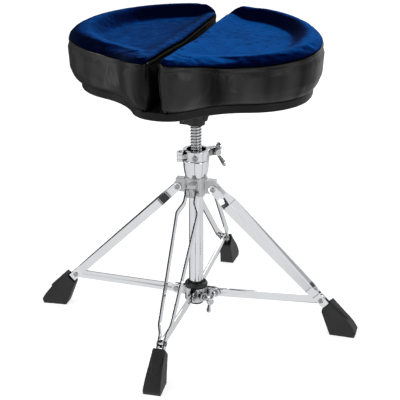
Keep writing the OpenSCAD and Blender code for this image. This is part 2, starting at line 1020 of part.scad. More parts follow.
centre_tube();
tube_end_cap();
hub_casting();
hub_set_screws();
hub_pivot_bushes();
spindle_nut();
height_cup();
lock_body();
lock_hinge_pin();
lock_jaw();
lock_key_screw();
lock_washer();
lock_wing_screw();
bracket_casting();
bracket_bush();
brace_inner_pins();
bracket_shoe();
bracket_wing_bolt();
brace(FRONT);  // front_brace
brace(RIGHT);  // right_brace
brace(REAR);  // rear_brace
brace(LEFT);  // left_brace
strap(FRONT, -1);  // front_strap_a
strap(FRONT, 1);  // front_strap_b
strap(RIGHT, -1);  // right_strap_a
strap(RIGHT, 1);  // right_strap_b
strap(REAR, -1);  // rear_strap_a
strap(REAR, 1);  // rear_strap_b
strap(LEFT, -1);  // left_strap_a
strap(LEFT, 1);  // left_strap_b
foot_rivet(FRONT);  // front_foot_rivet
foot_rivet(RIGHT);  // right_foot_rivet
foot_rivet(REAR);  // rear_foot_rivet
foot_rivet(LEFT);  // left_foot_rivet
hub_rivets(FRONT);  // front_hub_rivets
hub_rivets(RIGHT);  // right_hub_rivets
hub_rivets(REAR);  // rear_hub_rivets
hub_rivets(LEFT);  // left_hub_rivets
boot(FRONT);  // front_boot
boot(RIGHT);  // right_boot
boot(REAR);  // rear_boot
boot(LEFT);  // left_boot
threaded_rod();
rod_guide_bush();
rod_end_screw();
seat_bracket();
seat_clamp_bolt();
seat_bolts();
t_nuts();
seat_board();
base_wrap();
foam(-1);  // left_foam
foam(1);  // right_foam
side_wall(-1);  // left_side_wall
side_wall(1);  // right_side_wall
velour_top(-1);  // left_velour_top
velour_top(1);  // right_velour_top
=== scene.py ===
import json
import math

import bmesh
import bpy
import numpy as np
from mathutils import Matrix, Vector, kdtree

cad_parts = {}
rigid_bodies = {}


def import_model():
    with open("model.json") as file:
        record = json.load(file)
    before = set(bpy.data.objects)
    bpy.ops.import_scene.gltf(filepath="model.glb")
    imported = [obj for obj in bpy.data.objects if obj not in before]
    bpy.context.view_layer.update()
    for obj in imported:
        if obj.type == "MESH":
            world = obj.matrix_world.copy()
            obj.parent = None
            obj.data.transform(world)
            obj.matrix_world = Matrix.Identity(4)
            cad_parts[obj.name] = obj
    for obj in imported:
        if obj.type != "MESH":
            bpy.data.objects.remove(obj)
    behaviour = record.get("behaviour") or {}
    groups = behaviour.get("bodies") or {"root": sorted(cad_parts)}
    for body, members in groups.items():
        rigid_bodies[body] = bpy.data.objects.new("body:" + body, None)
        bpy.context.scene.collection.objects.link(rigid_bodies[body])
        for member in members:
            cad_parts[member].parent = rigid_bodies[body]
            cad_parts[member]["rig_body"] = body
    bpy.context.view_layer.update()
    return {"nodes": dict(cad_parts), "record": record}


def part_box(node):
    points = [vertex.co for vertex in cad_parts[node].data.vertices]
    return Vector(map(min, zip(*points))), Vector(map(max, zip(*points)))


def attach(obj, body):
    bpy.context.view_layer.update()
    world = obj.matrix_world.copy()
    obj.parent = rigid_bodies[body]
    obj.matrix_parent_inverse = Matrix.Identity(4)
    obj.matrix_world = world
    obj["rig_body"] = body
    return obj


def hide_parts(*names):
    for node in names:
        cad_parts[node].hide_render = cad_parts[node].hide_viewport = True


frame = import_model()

NODES = frame["nodes"]
SIDES = ("front", "right", "rear", "left")
MM = 0.001


# ---------------- materials

def new_material(name):
    mat = bpy.data.materials.new(name)
    mat.use_nodes = True
    tree = mat.node_tree
    return mat, tree, tree.nodes["Principled BSDF"]


def add(tree, kind, **values):
    node = tree.nodes.new(kind)
    for key, value in values.items():
        if key in node.inputs:
            node.inputs[key].default_value = value
        else:
            setattr(node, key, value)
    return node


def link(tree, a, out, b, into):
    tree.links.new(a.outputs[out], b.inputs[into])


def product(tree, first, second):
    """Colour output of the product of two colour outputs."""
    both = add(tree, "ShaderNodeMix", data_type="RGBA", blend_type="MULTIPLY")
    both.inputs["Factor"].default_value = 1.0
    places = [socket for socket in both.inputs if socket.type == "RGBA"]
    tree.links.new(first, places[0])
    tree.links.new(second, places[1])
    return next(socket for socket in both.outputs if socket.type == "RGBA")


def ramp(tree, low, high, c0=(0, 0, 0, 1), c1=(1, 1, 1, 1)):
    node = tree.nodes.new("ShaderNodeValToRGB")
    node.color_ramp.elements[0].position = low
    node.color_ramp.elements[1].position = high
    node.color_ramp.elements[0].color = c0
    node.color_ramp.elements[1].color = c1
    return node


def finish_material(name, colour, metallic, rough, grain, depth, spread=0.06, tint=0.12,
                    leather=False):
    """Principled material whose colour, roughness and bump all vary with object-space noise.
    grain is the size of the bump's detail and depth its height, both in metres."""
    mat, tree, bsdf = new_material(name)
    place = add(tree, "ShaderNodeTexCoord")
    fine = add(tree, "ShaderNodeTexNoise", Scale=1 / grain, Detail=4.0, Roughness=0.55)
    broad = add(tree, "ShaderNodeTexNoise", Scale=22.0, Detail=5.0, Roughness=0.6)
    link(tree, place, "Object", fine, "Vector")
    link(tree, place, "Object", broad, "Vector")
    tone = ramp(tree, 0.3, 0.7,
                tuple(c * (1 - tint) for c in colour) + (1,),
                tuple(min(1, c * (1 + tint)) for c in colour) + (1,))
    link(tree, broad, "Fac", tone, "Fac")
    link(tree, tone, "Color", bsdf, "Base Color")
    shine = add(tree, "ShaderNodeMapRange")
    shine.inputs["To Min"].default_value = max(0.0, rough - spread)
    shine.inputs["To Max"].default_value = rough + spread
    link(tree, broad, "Fac", shine, "Value")
    link(tree, shine, "Result", bsdf, "Roughness")
    bump = add(tree, "ShaderNodeBump", Strength=1.0, Distance=depth)
    if leather:
        cells = add(tree, "ShaderNodeTexVoronoi", Scale=1 / grain)
        cells.feature = "SMOOTH_F1"
        link(tree, place, "Object", cells, "Vector")
        link(tree, cells, "Distance", bump, "Height")
    else:
        link(tree, fine, "Fac", bump, "Height")
    link(tree, bump, "Normal", bsdf, "Normal")
    bsdf.inputs["Metallic"].default_value = metallic
    return mat, tree, bsdf


def gloss_map(tree, bsdf, low, high):
    """Lets the shine rise and fall softly round the wall, in upright bands."""
    place = add(tree, "ShaderNodeTexCoord")
    squash = add(tree, "ShaderNodeMapping")
    squash.inputs["Scale"].default_value = (13, 13, 2.5)
    bands = add(tree, "ShaderNodeTexNoise", Scale=1.0, Detail=2.0)
    level = add(tree, "ShaderNodeMapRange")
    level.inputs["From Min"].default_value = 0.36
    level.inputs["From Max"].default_value = 0.64
    level.inputs["To Min"].default_value = low
    level.inputs["To Max"].default_value = high
    link(tree, place, "Object", squash, "Vector")
    link(tree, squash, "Vector", bands, "Vector")
    link(tree, bands, "Fac", level, "Value")
    link(tree, level, "Result", bsdf, "Specular IOR Level")


def shadowed(mat, reach, darkest, open_at):
    """Paints shade into a material's colour in grooves narrower than reach. open_at is the
    openness, from 0 to 1, that shows its full colour."""
    tree = mat.node_tree
    bsdf = next(n for n in tree.nodes if n.type == "BSDF_PRINCIPLED")
    source = bsdf.inputs["Base Color"].links[0].from_socket
    hidden = add(tree, "ShaderNodeAmbientOcclusion", Distance=reach)
    hidden.samples = 8
    shade = ramp(tree, open_at - 0.42, open_at, (darkest, darkest, darkest, 1), (1, 1, 1, 1))
    link(tree, hidden, "AO", shade, "Fac")
    tree.links.new(product(tree, source, shade.outputs["Color"]), bsdf.inputs["Base Color"])


def plain(*args, **kw):
    return finish_material(*args, **kw)[0]


def vinyl(name, colour, rough, depth):
    """Grained leathercloth, with its tree and shader for what differs between its uses."""
    return finish_material(name, colour, 0.0, rough, 0.0016, depth, tint=0.2, leather=True)


# name, colour, metallic, roughness, grain of the bump, its height
CHROME = plain("chrome", (0.86, 0.87, 0.885), 1.0, 0.055, 0.004, 0.00001, spread=0.02, tint=0.02)
LOCK_CHROME = plain("lock_chrome", (0.86, 0.87, 0.885), 1.0, 0.07, 0.004, 0.00001, spread=0.02)
THREAD = plain("thread_steel", (0.82, 0.83, 0.84), 1.0, 0.13, 0.002, 0.00002, spread=0.05)
CAST = plain("cast_alloy", (0.60, 0.605, 0.61), 0.75, 0.42, 0.0022, 0.00009, tint=0.05)
POLISHED = plain("polished_casting", (0.80, 0.81, 0.82), 1.0, 0.16, 0.003, 0.00006)
STEEL = plain("zinc_steel", (0.42, 0.425, 0.43), 1.0, 0.24, 0.0012, 0.00002)
BRASS = plain("turned_brass", (0.78, 0.62, 0.32), 1.0, 0.3, 0.001, 0.00002)
PLASTIC = plain("black_plastic", (0.010, 0.010, 0.0105), 0.0, 0.42, 0.0011, 0.00004, tint=0.3)
NYLON = plain("white_nylon", (0.8, 0.79, 0.75), 0.0, 0.5, 0.001, 0.00003, tint=0.05)
RUBBER = plain("boot_rubber", (0.011, 0.011, 0.0115), 0.0, 0.58, 0.0012, 0.00012, tint=0.35)
COATED = plain("powder_coat", (0.008, 0.008, 0.0085), 0.1, 0.46, 0.0013, 0.00010, tint=0.3)
FOAM = plain("foam", (0.82, 0.74, 0.45), 0.0, 0.95, 0.0012, 0.0003)
THREAD_BLACK = plain("sewing_thread", (0.03, 0.03, 0.031), 0.0, 0.7, 0.0004, 0.00005)

# painted shade: the thread's grooves, the castings' recesses and the lock's hollows are darkened
# in their colour
shadowed(THREAD, 4 * MM, 0.03, 0.95)
shadowed(POLISHED, 12 * MM, 0.04, 0.95)
shadowed(LOCK_CHROME, 20 * MM, 0.02, 0.93)

VINYL, _tree, _bsdf = vinyl("black_vinyl", (0.0040, 0.0040, 0.0042), 0.33, 0.00014)
gloss_map(_tree, _bsdf, 0.07, 0.62)
BASE_VINYL, _tree, _bsdf = vinyl("base_vinyl", (0.0032, 0.0032, 0.0033), 0.42, 0.00012)
_bsdf.inputs["Specular IOR Level"].default_value = 0.22
# painted shade: a darker, duller vinyl for the slot walls and the rear corner, where only shade
# falls
GAP_SHADE_VINYL, _tree, _bsdf = vinyl("gap_shade_vinyl", (0.0016, 0.0016, 0.0016), 0.7, 0.0001)
_bsdf.inputs["Specular IOR Level"].default_value = 0.08


def make_wood():
    mat, tree, bsdf = new_material("birch_plywood")
    place = add(tree, "ShaderNodeTexCoord")
    stretch = add(tree, "ShaderNodeMapping")
    stretch.inputs["Scale"].default_value = (60, 6, 500)
    rings = add(tree, "ShaderNodeTexNoise", Scale=1.0, Detail=6.0)
    tone = ramp(tree, 0.35, 0.65, (0.50, 0.34, 0.19, 1), (0.72, 0.55, 0.36, 1))
    bump = add(tree, "ShaderNodeBump", Distance=0.0002)
    link(tree, place, "Object", stretch, "Vector")
    link(tree, stretch, "Vector", rings, "Vector")
    link(tree, rings, "Fac", tone, "Fac")
    link(tree, tone, "Color", bsdf, "Base Color")
    link(tree, rings, "Fac", bump, "Height")
    link(tree, bump, "Normal", bsdf, "Normal")
    bsdf.inputs["Roughness"].default_value = 0.6
    return mat


WOOD = make_wood()

PAINTED_LIGHT_DIRECTION = (0.22, 0.52, 0.83)      # painted light: cloth that faces this way is painted brightest
VELOUR_DARKEST = (0.0, 0.0008, 0.013, 1)
VELOUR_BETWEEN = ((0.34, (0.0, 0.006, 0.060, 1)), (0.68, (0.0, 0.040, 0.205, 1)))
VELOUR_BRIGHTEST = (0.0, 0.100, 0.43, 1)
VELOUR_SHEEN = (0.1, 0.4, 1.0, 1)


def make_velour(name, low, high):
    """Short-pile velour with painted light and shade: cloth that slopes towards the nose is
    painted dark and cloth that slopes to the rear or lies flat is painted bright, by how it
    faces; brushed patches break it up. low and high are the values that show darkest and
    brightest."""
    mat, tree, bsdf = new_material(name)
    place = add(tree, "ShaderNodeTexCoord")
    geo = add(tree, "ShaderNodeNewGeometry")
    facing_light = add(tree, "ShaderNodeVectorMath", operation="DOT_PRODUCT")
    facing_light.inputs[1].default_value = PAINTED_LIGHT_DIRECTION
    link(tree, geo, "Normal", facing_light, 0)
    flow = add(tree, "ShaderNodeMapping")
    flow.inputs["Rotation"].default_value = (0, 0, math.radians(-20))
    flow.inputs["Scale"].default_value = (60, 115, 50)
    link(tree, place, "Object", flow, "Vector")
    brushed = add(tree, "ShaderNodeTexNoise", Scale=1.0, Detail=9.0, Roughness=0.68)
    brushed.inputs["Distortion"].default_value = 0.8
    link(tree, flow, "Vector", brushed, "Vector")
    patches = add(tree, "ShaderNodeTexNoise", Scale=11.0, Detail=3.0, Roughness=0.5)
    link(tree, place, "Object", patches, "Vector")
    fibres = add(tree, "ShaderNodeTexNoise", Scale=1500.0, Detail=2.0)
    link(tree, place, "Object", fibres, "Vector")
    # painted light by facing, plus the cloth's own brushed, patchy and fibre tone
    total = facing_light
    for source, weight in ((brushed, 0.62), (patches, 0.24), (fibres, 0.12)):
        step = add(tree, "ShaderNodeMath", operation="MULTIPLY_ADD")
        link(tree, source, "Fac", step, 0)
        step.inputs[1].default_value = weight
        link(tree, total, "Value", step, 2)
        total = step
    level = add(tree, "ShaderNodeMapRange")
    level.inputs["From Min"].default_value = low
    level.inputs["From Max"].default_value = high
    link(tree, total, "Value", level, "Value")
    tone = ramp(tree, 0.0, 1.0, VELOUR_DARKEST, VELOUR_BRIGHTEST)
    for at, colour in VELOUR_BETWEEN:
        tone.color_ramp.elements.new(at).color = colour
    link(tree, level, "Result", tone, "Fac")
    link(tree, tone, "Color", bsdf, "Base Color")
    pile = add(tree, "ShaderNodeBump", Strength=0.55, Distance=0.0005)
    dents = add(tree, "ShaderNodeBump", Strength=0.5, Distance=0.0016)
    link(tree, fibres, "Fac", pile, "Height")
    link(tree, brushed, "Fac", dents, "Height")
    link(tree, dents, "Normal", pile, "Normal")
    link(tree, pile, "Normal", bsdf, "Normal")
    bsdf.inputs["Roughness"].default_value = 0.9
    bsdf.inputs["Specular IOR Level"].default_value = 0.03
    bsdf.inputs["Specular Tint"].default_value = VELOUR_SHEEN
    bsdf.inputs["Sheen Weight"].default_value = 0.06
    bsdf.inputs["Sheen Roughness"].default_value = 0.4
    bsdf.inputs["Sheen Tint"].default_value = VELOUR_SHEEN
    return mat


# lit and shaded copies of one velour: the left cushion's copy is painted darker, as painted shade
VELOUR = {"left": make_velour("blue_velour_left", 0.97, 1.50),
          "right": make_velour("blue_velour_right", 0.88, 1.36)}

FINISH = {
    "chrome_plate": CHROME, "cast_hub": CAST, "bright_casting": POLISHED,
    "steel_fasteners": STEEL, "threaded_steel": THREAD, "black_plastic": PLASTIC,
    "nylon": NYLON, "brass": BRASS, "boot_rubber": RUBBER, "cast_black": COATED,
    "plywood": WOOD, "black_vinyl": VINYL, "foam": FOAM, "blue_velour": VELOUR["right"]}
SLOT_OF = {p["node"]: p["material_slot"] for p in frame["record"]["subparts"]}


# ---------------- mesh helpers

def piece(name, mesh, slot, material=None):
    """Puts a mesh in the scene as one named piece with its slot's material or the given one."""
    obj = bpy.data.objects.new(name, mesh)
    bpy.context.scene.collection.objects.link(obj)
    mesh.materials.clear()
    mesh.materials.append(material or FINISH[slot])
    return obj


def mesh_of(name, verts, faces, sharp=None):
    """Clean mesh, smooth but for its edges above the sharp angle, in degrees."""
    mesh = bpy.data.meshes.new(name)
    mesh.from_pydata([tuple(v) for v in verts], [], faces)
    bm = bmesh.new()
    bm.from_mesh(mesh)
    bmesh.ops.remove_doubles(bm, verts=bm.verts, dist=1e-6)
    bmesh.ops.dissolve_degenerate(bm, edges=bm.edges, dist=1e-7)
    bmesh.ops.recalc_face_normals(bm, faces=bm.faces)
    bm.to_mesh(mesh)
    bm.free()
    mesh.shade_smooth()
    if sharp:
        mesh.set_sharp_from_angle(angle=math.radians(sharp))
    return mesh


def welded(node):
    """A copy of a CAD node's mesh with its split corners joined."""
    bm = bmesh.new()
    bm.from_mesh(NODES[node].data)
    bmesh.ops.remove_doubles(bm, verts=bm.verts, dist=2e-6)
    bmesh.ops.dissolve_degenerate(bm, edges=bm.edges, dist=1e-7)
    mesh = bpy.data.meshes.new(node + "_shape")
    bm.to_mesh(mesh)
    bm.free()
    return mesh


def modified(mesh, *steps):
    """The mesh after the modifiers given as (kind, settings) pairs."""
    obj = bpy.data.objects.new("working", mesh)
    bpy.context.scene.collection.objects.link(obj)
    for kind, settings in steps:
        mod = obj.modifiers.new(kind.lower(), kind)
        for key, value in settings.items():
            setattr(mod, key, value)
    dg = bpy.context.evaluated_depsgraph_get()
    done = bpy.data.meshes.new_from_object(obj.evaluated_get(dg))
    bpy.data.objects.remove(obj)
    return done


# Joins the triangles of flat CAD faces again
WHOLE_FACES = ("DECIMATE", dict(decimate_type="DISSOLVE", angle_limit=math.radians(0.6)))


def stand_for(name, mesh, node):
    """Makes the piece that stands for one CAD node and rides on that node's body."""
    obj = piece(name, mesh, SLOT_OF[node])
    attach(obj, NODES[node]["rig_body"])
    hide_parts(node)
    return obj


def bevelled(node, width, segments=2):
    """Machined part: the CAD shape with its edges broken."""
    mesh = modified(welded(node), WHOLE_FACES,
                    ("BEVEL", dict(width=width, segments=segments, limit_method="ANGLE",
                                   angle_limit=math.radians(30), use_clamp_overlap=True,
                                   miter_outer="MITER_ARC")))
    mesh.shade_smooth()
    mesh.set_sharp_from_angle(angle=math.radians(40))
    return stand_for(node + "_visual", mesh, node)


def moulded(node, voxel, rounds):
    """Cast or moulded part: the CAD shape with every edge and inner corner melted together."""
    mesh = modified(welded(node),
                    ("REMESH", dict(mode="VOXEL", voxel_size=voxel, use_smooth_shade=True)),
                    ("SMOOTH", dict(factor=0.5, iterations=rounds)))
    mesh.shade_smooth()
    return stand_for(node + "_visual", mesh, node)


def search_tree(points):
    """Search tree of 2-D or 3-D points."""
    tree = kdtree.KDTree(len(points))
    for i, q in enumerate(points):
        tree.insert((*q, 0.0)[:3], i)
    tree.balance()
    return tree


def lathe(name, profile, steps=96):
    """Closed ring or solid from (radius, height) points, in metres."""
    n = len(profile)
    verts = [(r * math.cos(a), r * math.sin(a), z)
             for a in (2 * math.pi * k / steps for k in range(steps)) for r, z in profile]
    faces = [[k * n + i, ((k + 1) % steps) * n + i, ((k + 1) % steps) * n + (i + 1) % n,
              k * n + (i + 1) % n] for k in range(steps) for i in range(n)]
    return mesh_of(name, verts, faces, sharp=38)


# ---------------- seat outline

SEAT_TURN = math.radians(-4.8)          # how far the seat is turned in the photographed pose
TURN = np.array([[math.cos(SEAT_TURN), -math.sin(SEAT_TURN)],
                 [math.sin(SEAT_TURN), math.cos(SEAT_TURN)]])


def outline_of(node):
    """Outer edge of a CAD node's underside as an ordered (n, 2) array, anticlockwise."""
    bm = bmesh.new()
    bm.from_mesh(welded(node))
    low = min(v.co.z for v in bm.verts)
    under = {f for f in bm.faces if all(abs(v.co.z - low) < 1e-5 for v in f.verts)}
    rim = [e for e in bm.edges if len([f for f in e.link_faces if f in under]) == 1]
    after = {}
    for e in rim:
        a, b = e.verts
        after.setdefault(a, []).append(b)
        after.setdefault(b, []).append(a)
    loops = []
    left = set(after)
    # in the mesh's own order, so that every run walks from the same corner
    for start in after:
        if start not in left:
            continue
        left.discard(start)
        walk = [start]
        while True:
            onward = [v for v in after[walk[-1]] if v in left]
            if not onward:
                break
            walk.append(onward[0])
            left.discard(onward[0])
        loops.append(np.array([(v.co.x, v.co.y) for v in walk]))
    bm.free()
    best = max(loops, key=lambda l: np.ptp(l[:, 0]) + np.ptp(l[:, 1]))
    x, y = best.T
    if np.sum(x * np.roll(y, -1) - np.roll(x, -1) * y) < 0:
        best = best[::-1]
    return best


def closed_run(path):
    """The path with its first point repeated at its end, and the distance along it."""
    closed = np.vstack([path, path[:1]])
    run = np.concatenate([[0], np.cumsum(np.linalg.norm(np.diff(closed, axis=0), axis=1))])
    return closed, run


def resampled(loop, count):
    """The loop as count evenly spaced points."""
    closed, run = closed_run(loop)
    at = np.linspace(0, run[-1], count, endpoint=False)
    return np.column_stack([np.interp(at, run, closed[:, k]) for k in range(2)])


def softened(loop, weight, rounds):
    """The loop with its points drawn towards their neighbours, as far as their weight lets."""
    for _ in range(rounds):
        mean = (np.roll(loop, 1, axis=0) + np.roll(loop, -1, axis=0)) / 2
        loop = loop + 0.5 * weight[:, None] * (mean - loop)
    return loop


def inward(loop):
    """Unit normals that point to the inside of an anticlockwise loop."""
    along = np.roll(loop, -1, axis=0) - np.roll(loop, 1, axis=0)
    normal = np.column_stack([-along[:, 1], along[:, 0]])
    return normal / np.maximum(np.linalg.norm(normal, axis=1), 1e-12)[:, None]


STEP = 1.0 * MM


def inset_family(loop, out_steps, in_steps):
    """Loops spaced one step apart, from out_steps outside the given loop to in_steps inside."""
    whole = np.ones(len(loop))
    inner = [loop]
    for _ in range(in_steps):
        inner.append(softened(inner[-1] + STEP * inward(inner[-1]), whole, 1))
    outer = [loop]
    for _ in range(out_steps):
        outer.append(outer[-1] - STEP * inward(outer[-1]))
    return np.array(outer[:0:-1] + inner), out_steps


def inset_at(family, depth):
    """Points of the loop family at a depth (in metres, one value or one per point)."""
    loops, zero = family
    at = np.clip(np.broadcast_to(depth, loops.shape[1]) / STEP + zero, 0, len(loops) - 1.001)
    low = at.astype(int)
    part = (at - low)[:, None]
    rows = np.arange(loops.shape[1])
    return loops[low, rows] * (1 - part) + loops[low + 1, rows] * part


# ---------------- cushions

# Angle round the seat from its nose, and at those angles, in mm: heights of the padded rim and
# of its seam above the floor, and widths of the slope down to the dish and of the rim's top
ANGLES = np.radians([0, 13, 24, 35, 47, 62, 90, 125, 180])
RIM_Z = np.array([588, 586.5, 582, 577.5, 577, 581, 586, 588.5, 591])
SEAM_Z = np.array([581, 577.5, 570.5, 564.5, 565, 568.5, 572, 573, 575])
SLOPE_W = np.array([120, 105, 82, 66, 56, 46, 38, 30, 26])
RIM_W = np.array([6, 6, 8, 12, 16, 22, 28, 25, 22])
SIDE_LIFT = {"left": 3.5, "right": -1.5}
DISH_Z = 567.0
# The lip along the gap, in mm: places from front to rear, its heights and its widths there
LIP_Y = [-230, -126, -78, -21, 47, 115, 160, 225]
LIP_Z = [588, 586, 583, 579, 580, 581.5, 581, 581]
LIP_W = [40, 36, 34, 33, 29, 25, 24, 24]
# How far in the velour's edges roll over, along the gap and outside, in mm
GAP_ROLL = 9.5
EDGE_ROLL = 22.0
FRONT_CORNER = 15 * MM
REAR_CORNER = 48 * MM
N_LOOP = 420                            # points round a cushion


def smooth(t):
    t = np.clip(t, 0, 1)
    return t * t * (3 - 2 * t)


def seat_plan(xy):
    """Seat-frame coordinates (sideways, rearwards) of row-frame points."""
    return xy @ TURN


def around(xy):
    """Angle of points round the seat from its nose, the same on both sides."""
    p = seat_plan(xy)
    return np.abs(np.arctan2(p[:, 0], -p[:, 1]))


def curve(angle, heights):
    """Smooth interpolation of the heights given at ANGLES."""
    i = np.clip(np.searchsorted(ANGLES, angle) - 1, 0, len(ANGLES) - 2)
    t = (angle - ANGLES[i]) / (ANGLES[i + 1] - ANGLES[i])
    slope = np.gradient(heights, ANGLES)
    slope[0] = slope[-1] = 0
    span = ANGLES[i + 1] - ANGLES[i]
    a, b = heights[i], heights[i + 1]
    ma, mb = slope[i] * span, slope[i + 1] * span
    return ((2 * t**3 - 3 * t**2 + 1) * a + (t**3 - 2 * t**2 + t) * ma
            + (-2 * t**3 + 3 * t**2) * b + (t**3 - t**2) * mb)


def lift(xy, side):
    """How much higher or lower this cushion's rim stands, most at its side."""
    return SIDE_LIFT[side] * np.sin(around(xy)) ** 2


def round_corner(loop, at, radius):
    """The loop with its corner at index at replaced by a smooth bend of the given reach."""
    n = len(loop)
    run = 0.0
    back = at
    while run < radius:
        run += np.linalg.norm(loop[back] - loop[back - 1])
        back = (back - 1) % n
    run = 0.0
    ahead = at
    while run < radius:
        run += np.linalg.norm(loop[(ahead + 1) % n] - loop[ahead])
        ahead = (ahead + 1) % n
    start, corner, end = loop[back], loop[at], loop[ahead]
    a = start + 0.6 * (corner - start)
    b = end + 0.6 * (corner - end)
    count = (ahead - back) % n
    out = loop.copy()
    for k in range(count + 1):
        t = k / count
        out[(back + k) % n] = ((1 - t) ** 3 * start + 3 * t * (1 - t) ** 2 * a
                               + 3 * t * t * (1 - t) * b + t ** 3 * end)
    return out


def seat_edge():
    """Search tree of the whole seat's outer edge, running on across the gap."""
    loop = resampled(outline_of("base_wrap"), 900)
    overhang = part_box("base_wrap")[0].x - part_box("left_side_wall")[0].x
    return search_tree(loop - inward(loop) * overhang)


SPINE = [(112, 112), (104, 0), (66, -110), (44, -172)]      # sideways, rearwards, in mm


class Cushion:
    """Outline of one cushion with the heights of its seam and padded top.
    outer is 1 on the outside of the cushion and 0 along the gap, at each point of the loop."""

    def __init__(self, side):
        self.side = side
        node = side + "_side_wall"
        self.foot_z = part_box(node)[0].z
        loop = resampled(outline_of(node), 4 * N_LOOP)
        # the gap side is the one long straight run of the outline
        turn = np.roll(loop, -1, axis=0) - loop
        heading = np.arctan2(turn[:, 1], turn[:, 0])
        bend = np.abs(np.angle(np.exp(1j * (np.roll(heading, -1) - heading))))
        corners = np.argsort(bend)[::-1]
        first = corners[0]
        far = [i for i in corners if np.linalg.norm(loop[i] - loop[first]) > 200 * MM]
        pair = sorted((first, far[0]), key=lambda i: loop[i][1])
        ends = loop[[(i + 1) % len(loop) for i in pair]]
        way = (ends[1] - ends[0]) / np.linalg.norm(ends[1] - ends[0])
        self.gap_start, self.gap_way = ends[0], way
        loop = round_corner(loop, (pair[0] + 1) % len(loop), FRONT_CORNER)
        loop = round_corner(loop, (pair[1] + 1) % len(loop), REAR_CORNER)
        loop = resampled(loop, N_LOOP)
        loop = softened(loop, np.ones(N_LOOP), 3)
        # blended round the two corners
        raw = np.where(np.abs(self.from_gap(loop)) < 0.6 * MM, 0.0, 1.0)
        for _ in range(26):
            raw = (np.roll(raw, 1) + raw + np.roll(raw, -1)) / 3
        self.outer = smooth(raw)
        loop = loop - inward(loop) * (self.bulge(loop) * self.outer)[:, None]
        self.loop = loop
        self.family = inset_family(loop, 4, 24)
        self.edge = seat_edge()
        self.seam_z = self.seam()

    def from_gap(self, xy):
        """Distance of points from the straight gap side."""
        away = xy - self.gap_start
        return away[:, 0] * self.gap_way[1] - away[:, 1] * self.gap_way[0]

    def bulge(self, loop):
        """How far the stuffed wall stands out of its CAD wall."""
        if self.side == "right":
            return np.zeros(len(loop))
        angle = np.degrees(around(loop))
        return 5.5 * MM * np.exp(-((angle - 72) / 26) ** 2)

    def top(self, xy):
        """Height of the padded top before its edges roll down."""
        gap = np.array([self.edge.find((q[0], q[1], 0))[2] for q in xy])
        angle = around(xy)
        rim = curve(angle, RIM_Z) + lift(xy, self.side)
        sunk = smooth((gap / MM - curve(angle, RIM_W)) / curve(angle, SLOPE_W))
        edge = (rim - DISH_Z) * (1 - sunk)
        rearward = seat_plan(xy)[:, 1] / MM
        lip = np.interp(rearward, LIP_Y, LIP_Z) - DISH_Z
        width = np.interp(rearward, LIP_Y, LIP_W)
        lip = lip * np.exp(-(self.from_gap(xy) / MM / width) ** 2)
        return (DISH_Z + (edge ** 6 + lip ** 6) ** (1 / 6)) * MM

    def seam(self):
        """Height of the seam between velour and vinyl at each point of the loop."""
        out = (curve(around(self.loop), SEAM_Z) + lift(self.loop, self.side)) * MM
        inner = self.top(self.loop) - GAP_ROLL * MM
        return inner + (out - inner) * self.outer

    def ring(self, depth, z):
        xy = inset_at(self.family, depth)
        return np.column_stack([xy, np.broadcast_to(z, len(xy))])

    def roll(self, depth):
        """Ring of the velour at a depth inside the seam, on the rolled edge."""
        xy = inset_at(self.family, depth)
        width = (GAP_ROLL + (EDGE_ROLL - GAP_ROLL) * self.outer) * MM
        t = np.clip(depth / width, 0, 1)
        rise = (1 - (1 - t) ** 2) ** (0.5 + 0.2 * self.outer)
        seam = self.seam_z
        return np.column_stack([xy, seam + (self.top(xy) - seam) * rise])

    def spine(self):
        """Points inside the cushion that the rings of its top close on."""
        sign = 1 if self.side == "right" else -1
        places = []
        for a, b in zip(SPINE, SPINE[1:]):
            count = int(math.dist(a, b) / 7)
            places += [np.array(a) + (np.array(b) - np.array(a)) * k / count
                       for k in range(count)]
        places.append(np.array(SPINE[-1]))
        return (np.array(places) * [sign, 1]) * MM @ TURN.T


def rings_mesh(name, rings, cap=None, sharp=None):
    """Mesh through rings of equal count, open or capped at its first ring, its last or both."""
    n = len(rings[0])
    verts = np.vstack(rings)
    faces = []
    for k in range(len(rings) - 1):
        for i in range(n):
            j = (i + 1) % n
            faces.append([k * n + i, k * n + j, (k + 1) * n + j, (k + 1) * n + i])
    if cap in ("first", "both"):
        faces.append(list(range(n))[::-1])
    if cap in ("last", "both"):
        faces.append([(len(rings) - 1) * n + i for i in range(n)])
    return mesh_of(name, verts, faces, sharp)


# Wall from its foot up: height above the foot and depth inside the loop, in mm
WALL_FOOT = [(0.3, 21), (0.2, 17.5), (1.2, 14.8), (3.5, 11.6), (7, 8.6), (11, 6.4), (16, 4.8),
             (22, 3.8)]
# Wall over its stitched fold to the seam: height under the seam and depth, in mm
WALL_FOLD = [(12.5, 0.9), (10.2, 0.6), (9.2, 0.7), (8.6, 1.3), (8.0, 0.5), (7.2, 0.1), (4.5, -0.2),
             (2.0, -0.1), (0.7, 0.4), (0.1, 1.2), (-0.2, 2.4), (0.6, 4.5)]
WALL_RINGS = 8                          # between the two
VELOUR_EDGE = [1.6, 1.9, 2.6, 3.6, 5.0, 6.6, 8.4, 10.4, 12.6, 15.0, 17.6, 20.4, 23.0]
VELOUR_RINGS = 24                       # from the rolled edge to the spine


def wall_rings(c):
    """Rings of the vinyl wall. Its curve is fuller outside than along the gap."""
    reach = 0.22 + 0.78 * c.outer
    rings = [c.ring(d * MM * reach, c.foot_z + h * MM) for h, d in WALL_FOOT]
    (h0, d0), (h1, d1) = WALL_FOOT[-1], WALL_FOLD[0]
    high = c.seam_z - h1 * MM
    start = c.foot_z + h0 * MM
    for k in range(1, WALL_RINGS + 1):
        t = k / (WALL_RINGS + 1)
        depth = (d0 + (d1 - d0) * t) * MM
        rings.append(c.ring(depth * reach, start + (high - start) * t))
    for h, d in WALL_FOLD:
        rings.append(c.ring(np.full(N_LOOP, d * MM), c.seam_z - h * MM))
    return rings


